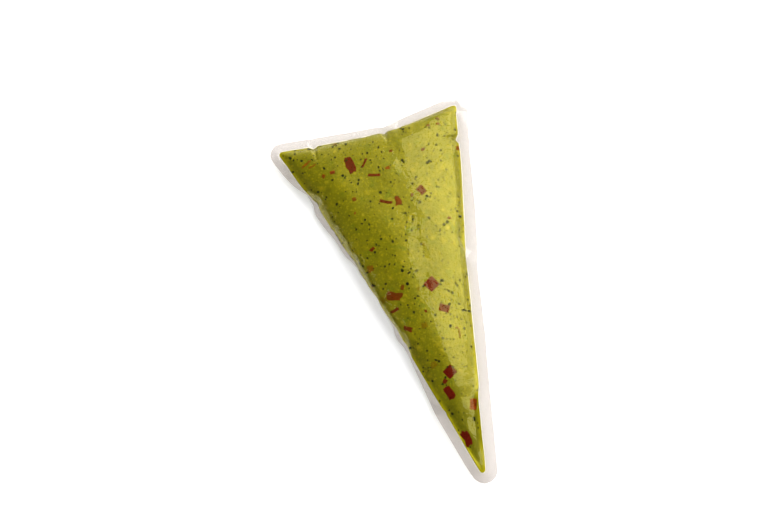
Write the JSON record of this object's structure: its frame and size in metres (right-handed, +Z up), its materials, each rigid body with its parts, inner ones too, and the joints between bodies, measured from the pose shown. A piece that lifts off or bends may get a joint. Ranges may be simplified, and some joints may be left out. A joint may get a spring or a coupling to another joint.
{
  "type": "guacamole pouch",
  "caption": "Clear sealed triangular film pouch filled with guacamole, lying flat, shaped like a filled piping bag.",
  "frame": {"origin": "on the surface the pouch lies on, under the middle of its outline", "axes": "+Y from the tip to the wide top seal, +Z up from the surface the pouch lies on, X across the pouch"},
  "size_m": [0.1882, 0.3626, 0.0293],
  "materials": {
    "guacamole": "smooth, moist avocado mash, olive to yellow green",
    "film": "clear glossy flexible film with a faintly milky weld",
    "red_pepper": "moist dark red dice and slivers",
    "herb": "dark green leaf flecks",
    "avocado": "moist pale yellow flesh"
  },
  "bodies": {
    "root": {"filled_pouch": "guacamole"}
  },
  "joints": []
}
